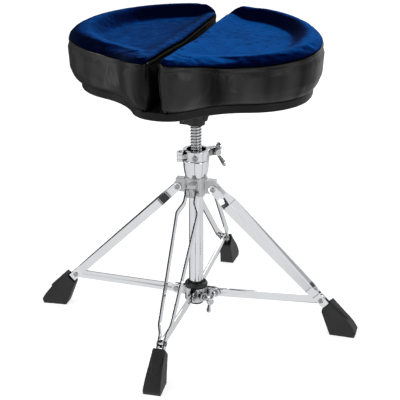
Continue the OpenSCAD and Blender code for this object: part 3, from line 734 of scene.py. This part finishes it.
def velour_rings(c):
    """Rings of the velour panel, from its edge tucked under the seam in to the spine."""
    rings = [c.roll(VELOUR_EDGE[0] * MM)]
    rings[0][:, 2] -= 1.5 * MM
    rings += [c.roll(d * MM) for d in VELOUR_EDGE]
    spine = c.spine()
    tree = search_tree(spine)
    last = rings[-1][:, :2]
    aim = np.array([spine[tree.find((q[0], q[1], 0))[1]] for q in last])
    for k in range(1, VELOUR_RINGS + 1):
        t = k / VELOUR_RINGS
        xy = last + (aim - last) * t
        rings.append(np.column_stack([xy, c.top(xy)]))
    return rings


def capsule(a, b, radius, sides=6):
    """Vertices and faces of one stitch from a to b."""
    along = (b - a).normalized()
    u = along.orthogonal().normalized()
    v = along.cross(u)
    verts, faces = [], []
    for t, r in ((0.0, 0.35), (0.18, 0.85), (0.5, 1.0), (0.82, 0.85), (1.0, 0.35)):
        centre = a.lerp(b, t)
        for k in range(sides):
            ang = 2 * math.pi * k / sides
            verts.append(centre + (u * math.cos(ang) + v * math.sin(ang)) * radius * r)
    rows = len(verts) // sides
    for i in range(rows - 1):
        for k in range(sides):
            m = (k + 1) % sides
            faces.append([i * sides + k, i * sides + m, (i + 1) * sides + m, (i + 1) * sides + k])
    faces.append(list(range(sides))[::-1])
    faces.append([(rows - 1) * sides + k for k in range(sides)])
    return verts, faces


STITCH_PITCH = 5.2 * MM
STITCH_LENGTH = 3.4 * MM
STITCH_RADIUS = 0.5 * MM
STITCH_DROP = 8.6 * MM                  # under the seam, in the fold's deepest line
STITCH_DEPTH = 0.95 * MM
WELT_RADIUS = 0.95 * MM


def stitches(name, path):
    """A row of stitches along a closed path of 3-D points."""
    closed, run = closed_run(path)
    count = int(run[-1] / STITCH_PITCH)
    verts, faces = [], []
    for k in range(count):
        ends = []
        for s in (k * STITCH_PITCH, k * STITCH_PITCH + STITCH_LENGTH):
            ends.append(Vector([np.interp(s, run, closed[:, m]) for m in range(3)]))
        v, f = capsule(ends[0], ends[1], STITCH_RADIUS)
        faces += [[i + len(verts) for i in face] for face in f]
        verts += v
    return mesh_of(name, verts, faces)


def corner_welt(c, wall):
    """Thin upright welt where the outer wall's panel is sewn to the gap panel, at the nose."""
    front = [i for i in range(N_LOOP) if seat_plan(c.loop[i:i + 1])[0, 1] < -150 * MM]
    at = min(front, key=lambda i: abs(c.outer[i] - 0.45))
    line = np.array([ring[at] for ring in wall[4:-4]])
    out = np.append(-inward(c.loop)[at], 0)
    rings = []
    side = np.cross(out, (0, 0, 1))
    for q in line:
        rings.append(np.array([q + WELT_RADIUS * (out * math.cos(a) + side * math.sin(a))
                               for a in np.linspace(0, 2 * np.pi, 10, endpoint=False)]))
    return rings_mesh("welt", rings, "both")


PUFF_LIMIT = 3.5 * MM
CLOTH_FRAMES = 20


def puffed(c, wall, velour):
    """Cloth simulation of the stuffed cover. The closed cover starts a little small, is held
    along its seam and foot and blown up from inside; its bulges and folds are then carried over
    to the wall's and the velour's own rings, fading out towards the seams."""
    start = [ring.copy() for ring in wall + velour[2:]]
    for ring in start:
        ring[:, :2] += inward(ring[:, :2]) * 0.8 * MM
    mesh = modified(rings_mesh("cover", start, "both"),
                    ("REMESH", dict(mode="VOXEL", voxel_size=5 * MM)))
    obj = bpy.data.objects.new("cover_cloth", mesh)
    bpy.context.scene.collection.objects.link(obj)
    seam = search_tree(np.column_stack([c.loop, c.seam_z]))
    held = obj.vertex_groups.new(name="held")
    for v in mesh.vertices:
        near = seam.find(v.co)[2]
        grip = max(1 - near / (9 * MM), 1.0 if v.co.z < c.foot_z + 6 * MM else 0.0)
        if grip > 0:
            held.add([v.index], min(1.0, grip), "REPLACE")
    cloth = obj.modifiers.new("cloth", "CLOTH")
    cloth.settings.quality = 5
    cloth.settings.mass = 0.25
    cloth.settings.tension_stiffness = 12
    cloth.settings.compression_stiffness = 6
    cloth.settings.bending_stiffness = 0.15
    cloth.settings.shrink_min = -0.03
    cloth.settings.use_pressure = True
    cloth.settings.uniform_pressure_force = 4
    cloth.settings.vertex_group_mass = "held"
    cloth.settings.effector_weights.gravity = 0
    cloth.point_cache.frame_start = 1
    cloth.point_cache.frame_end = CLOTH_FRAMES
    scene = bpy.context.scene
    for shot in range(1, CLOTH_FRAMES + 1):
        scene.frame_set(shot)
    blown = obj.evaluated_get(bpy.context.evaluated_depsgraph_get()).data
    places = np.array([v.co for v in mesh.vertices])
    moves = np.array([v.co for v in blown.vertices]) - places
    scene.frame_set(1)
    bpy.data.objects.remove(obj)
    # long moves are drawn in towards the limit, then cut at it
    for power in (0.5, 1.0):
        size = np.linalg.norm(moves, axis=1, keepdims=True)
        moves *= np.minimum(1, PUFF_LIMIT / np.maximum(size, 1e-9)) ** power
    tree = search_tree(places)

    def moved(rings, share):
        """The rings moved with the cloth, each by its share."""
        out = []
        for ring, part in zip(rings, share):
            ring = ring.copy()
            if part > 0:
                for i, q in enumerate(ring):
                    step, total = np.zeros(3), 0.0
                    for _co, k, gap in tree.find_n(q, 5):
                        weight = 1 / (gap + 1.5 * MM)
                        step += moves[k] * weight
                        total += weight
                    ring[i] = q + step / total * part
            out.append(ring)
        return out

    foot = len(WALL_FOOT)
    fold = len(WALL_FOLD)
    middle = len(wall) - foot - fold
    share = [0.0] * (foot - 3) + [0.15, 0.35, 0.6] + [1.0] * middle + [0.5] + [0.0] * (fold - 1)
    top = [0.0, 0.0, 0.0] + [min(1.0, k / 10) for k in range(len(velour) - 3)]
    return moved(wall, share), moved(velour, top)


def build_cushion(side):
    """Wall, corner welt, velour panel and stitches of one cushion."""
    c = Cushion(side)
    body = NODES[side + "_foam"]["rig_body"]
    wall_loops, velour_loops = wall_rings(c), velour_rings(c)
    wall_loops, velour_loops = puffed(c, wall_loops, velour_loops)
    wall = piece(side + "_cushion_wall", rings_mesh(side + "_wall", wall_loops, "first"),
                 "black_vinyl", VINYL)
    wall.data.materials.append(GAP_SHADE_VINYL)
    # the gap side, and the rear corner as far as it turns from it, wears the darker, duller vinyl:
    # painted shade in the slot
    for face in wall.data.polygons:
        at = face.vertices[0] % N_LOOP
        rear = seat_plan(c.loop[at:at + 1])[0, 1] > 120 * MM
        if c.outer[at] < (0.92 if rear else 0.35) and len(face.vertices) == 4:
            face.material_index = 1
    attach(wall, body)
    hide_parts(side + "_side_wall")
    welt = piece(side + "_corner_welt", corner_welt(c, wall_loops), "black_vinyl", VINYL)
    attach(welt, body)
    velour = piece(side + "_velour", rings_mesh(side + "_velour", velour_loops),
                   "blue_velour", VELOUR[side])
    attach(velour, body)
    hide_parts(side + "_velour_top", side + "_foam")
    row = c.ring(np.full(N_LOOP, STITCH_DEPTH), c.seam_z - STITCH_DROP)
    thread = piece(side + "_wall_stitches", stitches(side + "_stitches", row),
                   "black_vinyl", THREAD_BLACK)
    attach(thread, body)


for side in ("left", "right"):
    build_cushion(side)


def build_base():
    """Vinyl-covered base board with rolled edges."""
    low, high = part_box("base_wrap")
    loop = resampled(outline_of("base_wrap"), 480)
    family = inset_family(loop, 1, 12)
    thick = (high.z - low.z) / MM
    profile = [(0.0, 6.0), (0.0, 3.0), (0.25, 1.7), (0.9, 0.7), (1.8, 0.2), (3.0, 0.0),
               (thick - 1.6, 0.0), (thick - 0.5, 0.15), (thick + 0.1, 0.6), (thick + 0.3, 1.2),
               (thick + 0.35, 5.0)]
    rings = []
    for h, d in profile:
        xy = inset_at(family, d * MM)
        rings.append(np.column_stack([xy, np.full(len(xy), low.z + h * MM)]))
    base = piece("seat_base_cover", rings_mesh("seat_base", rings, "both", sharp=50),
                 "black_vinyl", BASE_VINYL)
    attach(base, "seat")
    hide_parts("base_wrap")


build_base()


# ---------------- height rod

def frame_pitch():
    """Rise of the seat for one turn, from the record's coupling."""
    for c in frame["record"]["behaviour"]["couplings"]:
        if c["joint"] == "height_slide":
            return c["ratio"] * 2 * math.pi
    raise ValueError("the record has no height_slide coupling")


THREAD_DEPTH = 1.9 * MM
THREAD_COLUMNS = 56
# Height of the thread's profile at even steps of one turn, as a share of its depth
CREST = [0.0, 0.12, 0.5, 0.88, 1.0, 1.0, 1.0, 0.96, 0.72, 0.34, 0.06, 0.0]


def build_rod():
    """Threaded rod with a rounded helical thread that fades out at both ends."""
    low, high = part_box("threaded_rod")
    r_out = high.x
    pitch = frame_pitch()
    start = low.z + 16 * MM
    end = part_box("seat_bracket")[0].z + 14 * MM
    cols = THREAD_COLUMNS
    per_turn = len(CREST)
    rows = int((end - start) / pitch * per_turn)
    verts = []
    for i in range(rows + 1):
        z = start + i * pitch / per_turn
        fade = min(1.0, i / per_turn, (rows - i) / per_turn)
        for k in range(cols):
            turn = (i / per_turn + k / cols) % 1.0 * per_turn
            j = int(turn)
            here, after = CREST[j % per_turn], CREST[(j + 1) % per_turn]
            h = here + (after - here) * (turn - j)
            r = r_out - THREAD_DEPTH * (1 - h * fade)
            a = -2 * math.pi * k / cols
            verts.append((r * math.cos(a), r * math.sin(a), z))
    thread = list(np.array(verts).reshape(rows + 1, cols, 3))
    angles = -2 * np.pi * np.arange(cols) / cols

    def circles(*places):
        return [np.column_stack([r * np.cos(angles), r * np.sin(angles), np.full(cols, z)])
                for r, z in places]

    lower = circles((7.0 * MM, low.z), (8.0 * MM, low.z + 1.0 * MM),
                    (8.0 * MM, start - 0.3 * MM), (9.4 * MM, start))
    upper = circles((r_out - 0.4 * MM, end + 0.5 * MM), (r_out, end + 1.5 * MM),
                    (r_out, high.z))
    stand_for("height_rod_thread", rings_mesh("rod", lower + thread + upper, "both", 50),
              "threaded_rod")


build_rod()


# ---------------- column and castings

def build_cup():
    """Chrome cup at the top of the tube: a flared bell with a rounded, hollow rim."""
    low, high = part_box("height_cup")
    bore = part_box("threaded_rod")[1].x + 1.0 * MM
    foot = 21.2 * MM
    rim = high.x
    top = high.z
    z0 = low.z
    outer = [(19.0 * MM, z0), (foot - 0.8 * MM, z0), (foot, z0 + 1.0 * MM)]
    for k in range(1, 9):
        t = k / 8
        outer.append((foot + (rim - 0.5 * MM - foot) * math.sin(t * math.pi / 2) ** 0.9,
                      z0 + 1.0 * MM + (26 * MM) * t))
    outer += [(rim, z0 + 29 * MM), (rim, top - 2.0 * MM), (rim - 0.5 * MM, top - 0.7 * MM),
              (rim - 1.4 * MM, top - 0.1 * MM), (rim - 2.4 * MM, top)]
    inner = [(bore + 1.0 * MM, top), (bore, top - 0.8 * MM), (bore, top - 3 * MM),
             (20 * MM, top - 3 * MM), (18.4 * MM, top - 6 * MM)]
    stand_for("height_cup_shell", lathe("cup", outer + inner), "height_cup")


build_cup()
moulded("hub_casting", 0.75 * MM, 5)
moulded("bracket_casting", 0.65 * MM, 4)
moulded("seat_bracket", 0.9 * MM, 4)
for node in ("lock_body", "lock_jaw"):
    moulded(node, 0.5 * MM, 4).data.materials[0] = LOCK_CHROME
for node in ("lock_wing_screw", "bracket_wing_bolt"):
    moulded(node, 0.42 * MM, 5)
for side in SIDES:
    moulded(side + "_boot", 0.8 * MM, 4)


def build_shoe():
    """Shoe of the lower wing bolt, a little slimmer than the bore it slides in."""
    low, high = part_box("bracket_shoe")
    axis = Vector((1, -1, 0)).normalized()
    centre = (low + high) / 2
    slim = 0.86
    mesh = welded("bracket_shoe")
    for v in mesh.vertices:
        along = axis * (v.co - centre).dot(axis)
        v.co = centre + along + (v.co - centre - along) * slim
    mesh.shade_smooth()
    mesh.set_sharp_from_angle(angle=math.radians(40))
    stand_for("bracket_shoe_visual", mesh, "bracket_shoe")


build_shoe()


def build_bush():
    """Black flange ring on the lower bracket: a round outer bead, a groove, an inner lip."""
    low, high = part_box("bracket_bush")
    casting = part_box("bracket_casting")
    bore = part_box("centre_tube")[1].x + 0.1 * MM
    z1 = casting[1].z
    z2 = high.z
    r = high.x
    half = (z2 - z1) / 2
    outer = [(bore, low.z), (16.9 * MM, low.z), (16.9 * MM, z1 + 0.1 * MM),
             (r - 3 * MM, z1 + 0.1 * MM)]
    for k in range(1, 12):
        a = math.radians(-90 + 180 * k / 12)
        outer.append((r - 3.6 * MM + 3.6 * MM * math.cos(a), z1 + half + half * math.sin(a)))
    inner = [(r - 4.4 * MM, z2), (r - 5.4 * MM, z2 - 0.8 * MM), (r - 5.8 * MM, z2 - 3 * MM),
             (bore + 1.6 * MM, z2 - 3 * MM), (bore + 1.4 * MM, z2 - 1.4 * MM),
             (bore + 0.4 * MM, z2 - 1.2 * MM), (bore, z2 - 1.8 * MM)]
    stand_for("bracket_bush_ring", lathe("bush", outer + inner), "bracket_bush")


build_bush()
for node in ("centre_tube", "tube_end_cap", "spindle_nut"):
    bevelled(node, 0.5 * MM)
for side in SIDES:
    bevelled(side + "_brace", 0.6 * MM, 3)


# ---------------- leg straps

KINK_BEND = 3.5 * MM


def build_strap(node):
    """Strap with its kinks bent round instead of folded, and its edges broken."""
    flat = modified(welded(node), WHOLE_FACES)
    bm = bmesh.new()
    bm.from_mesh(flat)
    kinks = [e for e in bm.edges if len(e.link_faces) == 2
             and math.radians(6) < e.calc_face_angle(0) < math.radians(60)
             and e.calc_length() > 12 * MM]
    bmesh.ops.bevel(bm, geom=kinks, offset=KINK_BEND, segments=5, profile=0.5, affect="EDGES")
    mesh = bpy.data.meshes.new(node + "_bent")
    bm.to_mesh(mesh)
    bm.free()
    mesh = modified(mesh, ("BEVEL", dict(width=0.35 * MM, segments=2, limit_method="ANGLE",
                                         angle_limit=math.radians(50))))
    mesh.shade_smooth()
    mesh.set_sharp_from_angle(angle=math.radians(60))
    mesh = modified(mesh, ("WEIGHTED_NORMAL", dict(keep_sharp=True, weight=80)))
    stand_for(node + "_visual", mesh, node)


for side in SIDES:
    for which in ("a", "b"):
        build_strap(f"{side}_strap_{which}")

# CAD nodes that no piece replaces show as they are, in their slot's material
for name, obj in NODES.items():
    if obj.hide_render:
        continue
    obj.data.materials.clear()
    obj.data.materials.append(FINISH[SLOT_OF[name]])


# ---------------- stage

def cards(tree, vector, stops):
    """Brightness of the studio's cards by compass direction of a vector."""
    split = add(tree, "ShaderNodeSeparateXYZ")
    tree.links.new(vector, split.inputs["Vector"])
    angle = add(tree, "ShaderNodeMath", operation="ARCTAN2")
    link(tree, split, "Y", angle, 0)
    link(tree, split, "X", angle, 1)
    turn = add(tree, "ShaderNodeMapRange")
    turn.inputs["From Min"].default_value = -math.pi
    turn.inputs["From Max"].default_value = math.pi
    link(tree, angle, "Value", turn, "Value")
    band = tree.nodes.new("ShaderNodeValToRGB")
    band.color_ramp.interpolation = "EASE"
    while len(band.color_ramp.elements) < len(stops):
        band.color_ramp.elements.new(0.5)
    for element, (at, value) in zip(band.color_ramp.elements, stops):
        element.position = at
        element.color = (value, value, value * 1.01, 1)
    link(tree, turn, "Result", band, "Fac")
    return band.outputs["Color"], split


# Cards round the studio that only reflections see: direction as a share of a full turn, counted
# anticlockwise from the left, and brightness
FLOOR_CARDS = [(0.0, 0.74), (0.23, 0.80), (0.243, 0.44), (0.253, 0.44), (0.268, 0.80),
               (0.44, 0.80), (0.452, 0.55), (0.468, 0.55), (0.48, 0.80), (0.62, 0.70),
               (0.78, 0.62), (0.82, 0.10), (0.93, 0.10), (0.97, 0.74)]
SKY_CARDS = [(0.0, 0.75), (0.088, 0.7), (0.103, 0.05), (0.124, 0.05), (0.14, 0.8), (0.25, 0.95),
             (0.268, 0.05), (0.282, 0.05), (0.292, 0.9), (0.297, 0.9), (0.304, 0.05),
             (0.322, 0.05), (0.332, 0.95), (0.344, 0.05), (0.372, 0.05), (0.386, 0.9),
             (0.405, 0.9), (0.42, 0.05), (0.46, 0.05), (0.48, 0.8), (0.66, 0.75), (0.80, 0.62),
             (0.83, 0.08), (0.93, 0.08), (0.96, 0.75)]


FLOOR_GAP = 0.0002                      # between the boots and the floor


def keep_under_boots(floor):
    """Lets the floor sink with the boots as the legs fold, so that it never hides them."""
    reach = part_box("right_boot")[1].x
    driver = floor.driver_add("location", 2).driver
    driver.type = "SCRIPTED"
    for name, channel in (("drop", "LOC_Z"), ("turn", "ROT_Y")):
        reading = driver.variables.new()
        reading.name = name
        reading.type = "TRANSFORMS"
        reading.targets[0].id = NODES["right_boot"].parent
        reading.targets[0].transform_type = channel
        reading.targets[0].transform_space = "WORLD_SPACE"
    driver.expression = f"min(0, drop - {reach:.4f} * sin(turn)) - {FLOOR_GAP}"


def build_stage():
    """White floor: the camera sees it lit, reflections see it with the studio's cards in it."""
    bpy.ops.mesh.primitive_plane_add(size=14, location=(0, 0, -FLOOR_GAP))
    floor = bpy.context.object
    floor.name = "studio_floor"
    mat, tree, bsdf = new_material("studio_white")
    bsdf.inputs["Base Color"].default_value = (0.8, 0.8, 0.8, 1)
    bsdf.inputs["Roughness"].default_value = 0.95
    bsdf.inputs["Specular IOR Level"].default_value = 0.0
    bsdf.inputs["Emission Color"].default_value = (1, 1, 1, 1)
    bsdf.inputs["Emission Strength"].default_value = 0.66
    geo = add(tree, "ShaderNodeNewGeometry")
    way = add(tree, "ShaderNodeVectorMath", operation="SCALE")
    way.inputs["Scale"].default_value = -1
    link(tree, geo, "Incoming", way, 0)
    tone, _split = cards(tree, way.outputs["Vector"], FLOOR_CARDS)
    mirror = add(tree, "ShaderNodeEmission")
    tree.links.new(tone, mirror.inputs["Color"])
    path = add(tree, "ShaderNodeLightPath")
    mix = add(tree, "ShaderNodeMixShader")
    link(tree, path, "Is Glossy Ray", mix, "Fac")
    link(tree, bsdf, "BSDF", mix, 1)
    link(tree, mirror, "Emission", mix, 2)
    out = next(n for n in tree.nodes if n.type == "OUTPUT_MATERIAL")
    link(tree, mix, "Shader", out, "Surface")
    floor.data.materials.append(mat)
    keep_under_boots(floor)


WORLD_LIGHT = 0.42


def build_world():
    """White studio. Reflections see a bright band round the horizon with a few dark cards and a
    dark ceiling; the camera sees plain white; diffuse light is soft and even."""
    world = bpy.data.worlds.new("studio")
    bpy.context.scene.world = world
    world.use_nodes = True
    tree = world.node_tree
    tree.nodes.clear()
    out = add(tree, "ShaderNodeOutputWorld")
    seen = add(tree, "ShaderNodeBackground", Color=(1, 1, 1, 1), Strength=1.0)
    soft = add(tree, "ShaderNodeBackground", Color=(1, 1, 1, 1), Strength=WORLD_LIGHT)
    lit = add(tree, "ShaderNodeBackground", Strength=1.0)
    place = add(tree, "ShaderNodeTexCoord")
    tone, split = cards(tree, place.outputs["Generated"], SKY_CARDS)
    rise = ramp(tree, 0.42, 0.72, (1, 1, 1, 1), (0.05, 0.05, 0.055, 1))
    link(tree, split, "Z", rise, "Fac")
    tree.links.new(product(tree, tone, rise.outputs["Color"]), lit.inputs["Color"])
    path = add(tree, "ShaderNodeLightPath")
    mirror = add(tree, "ShaderNodeMixShader")
    link(tree, path, "Is Glossy Ray", mirror, "Fac")
    link(tree, soft, "Background", mirror, 1)
    link(tree, lit, "Background", mirror, 2)
    mix = add(tree, "ShaderNodeMixShader")
    link(tree, path, "Is Camera Ray", mix, "Fac")
    link(tree, mirror, "Shader", mix, 1)
    link(tree, seen, "Background", mix, 2)
    link(tree, mix, "Shader", out, "Surface")


def area_light(name, place, aim, size, power):
    """Rectangular lamp at a place, turned towards its aim."""
    lamp = bpy.data.lights.new(name, "AREA")
    lamp.shape = "RECTANGLE"
    lamp.size, lamp.size_y = size
    lamp.energy = power
    obj = bpy.data.objects.new(name, lamp)
    bpy.context.scene.collection.objects.link(obj)
    obj.location = place
    way = Vector(aim) - Vector(place)
    obj.rotation_euler = way.to_track_quat("-Z", "Y").to_euler()


# The photograph's camera, found by matching points of the part to the photograph
CAMERA_PLACE = (0.5520, -2.1526, 1.1211)
CAMERA_LENS = 110.40
HEADING = math.radians(14.19)
PITCH = math.radians(21.352)


def build_camera():
    data = bpy.data.cameras.new("photo_camera")
    data.lens = CAMERA_LENS
    data.sensor_width = 36
    camera = bpy.data.objects.new("photo_camera", data)
    bpy.context.scene.collection.objects.link(camera)
    camera.location = CAMERA_PLACE
    way = Vector((-math.sin(HEADING) * math.cos(PITCH), math.cos(HEADING) * math.cos(PITCH),
                  -math.sin(PITCH)))
    camera.rotation_euler = way.to_track_quat("-Z", "Y").to_euler()
    bpy.context.scene.camera = camera


build_stage()
build_world()
area_light("key", (-1.9, -1.0, 2.0), (0, 0, 0.5), (1.0, 1.0), 17)
area_light("fill", (2.2, -1.4, 1.2), (0, 0, 0.5), (1.2, 2.0), 14)
area_light("back", (0.4, 2.4, 1.8), (0, 0, 0.55), (2.0, 1.0), 16)
build_camera()
bpy.context.scene.view_settings.view_transform = "Standard"
bpy.context.scene.view_settings.look = "None"
